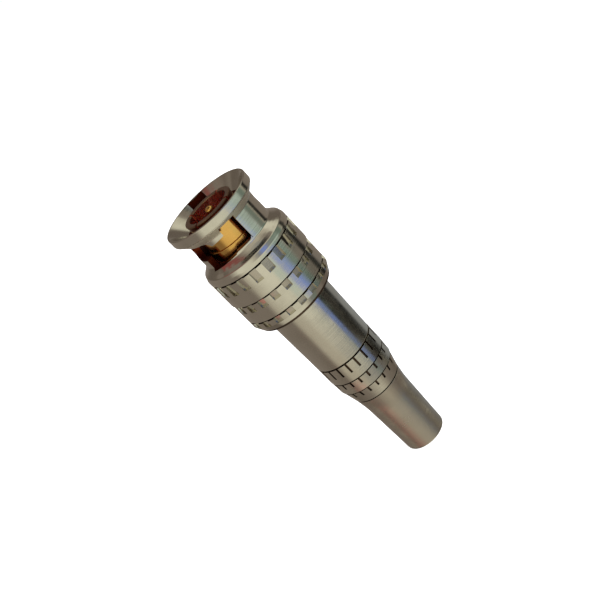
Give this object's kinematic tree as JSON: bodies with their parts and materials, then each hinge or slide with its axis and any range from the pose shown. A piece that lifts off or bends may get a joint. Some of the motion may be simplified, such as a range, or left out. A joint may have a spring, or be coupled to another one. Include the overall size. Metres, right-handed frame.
{
  "type": "bnc connector",
  "caption": "Bayonet coaxial cable plug in nickel-plated brass: slotted coupling sleeve with notched grip, gold contacts, tapered barrel and long tapered tail nut.",
  "frame": {"origin": "centre of the tail's end face, on which the plug stands", "axes": "+Z along the plug's axis from tail to mouth; -Y through the nearer bayonet slot's entry"},
  "size_m": [0.0148, 0.0148, 0.0517],
  "materials": {
    "nickel_bright": "turned brass with bright nickel plate",
    "nickel_satin": "turned brass with nickel plate, satin on the tail",
    "gold_plate": "gold-plated brass",
    "spring_steel": "plain spring steel",
    "silicone": "soft silicone",
    "ptfe": "turned white plastic",
    "clear_tube": "natural plastic tube",
    "black_rubber": "moulded rubber"
  },
  "bodies": {
    "plug_body": {"contact_body": "gold_plate", "outer_contact": "gold_plate", "sealing_gasket": "silicone", "front_insulator": "ptfe", "rear_insulator": "ptfe", "centre_pin": "gold_plate", "braid_clamp": "gold_plate", "wave_washer": "spring_steel"},
    "thrust_washer": {"flat_washer": "spring_steel"},
    "coupling": {"coupling_sleeve": "nickel_bright", "snap_ring": "spring_steel"},
    "joint_cover": {"insulating_tube": "clear_tube"},
    "barrel": {"barrel": "nickel_bright", "cable_collet": "nickel_bright", "grommet": "black_rubber"},
    "clamp_washer": {"slip_washer": "spring_steel"},
    "tail": {"tail_nut": "nickel_satin"}
  },
  "joints": [
    {"name": "coupling_push", "type": "slide", "parent": "plug_body", "child": "thrust_washer", "axis": [0, 0, 1], "range_m": [0, 0.0006], "stiffness_N_per_m": 5000, "springref_m": -0.0008, "deforming": ["wave_washer"]},
    {"name": "coupling_turn", "type": "hinge", "parent": "thrust_washer", "child": "coupling", "pos_m": [0, 0, 0.0432], "axis": [0, 0, 1], "continuous": true},
    {"name": "cover_travel", "type": "slide", "parent": "plug_body", "child": "joint_cover", "axis": [0, 0, -1], "range_m": [0, 0.0045]},
    {"name": "barrel_screw", "type": "hinge", "parent": "joint_cover", "child": "barrel", "pos_m": [0, 0, 0.0367], "axis": [0, 0, -1], "range_deg": [0, 2161]},
    {"name": "washer_travel", "type": "slide", "parent": "barrel", "child": "clamp_washer", "axis": [0, 0, -1], "range_m": [0, 0.00225]},
    {"name": "tail_nut_screw", "type": "hinge", "parent": "clamp_washer", "child": "tail", "pos_m": [0, 0, 0.0227], "axis": [0, 0, -1], "range_deg": [0, 1081]}
  ],
  "couplings": [
    {"joint": "barrel_screw", "follows": "cover_travel", "rad_per_m": 8377.6},
    {"joint": "tail_nut_screw", "follows": "washer_travel", "rad_per_m": 8377.6}
  ]
}
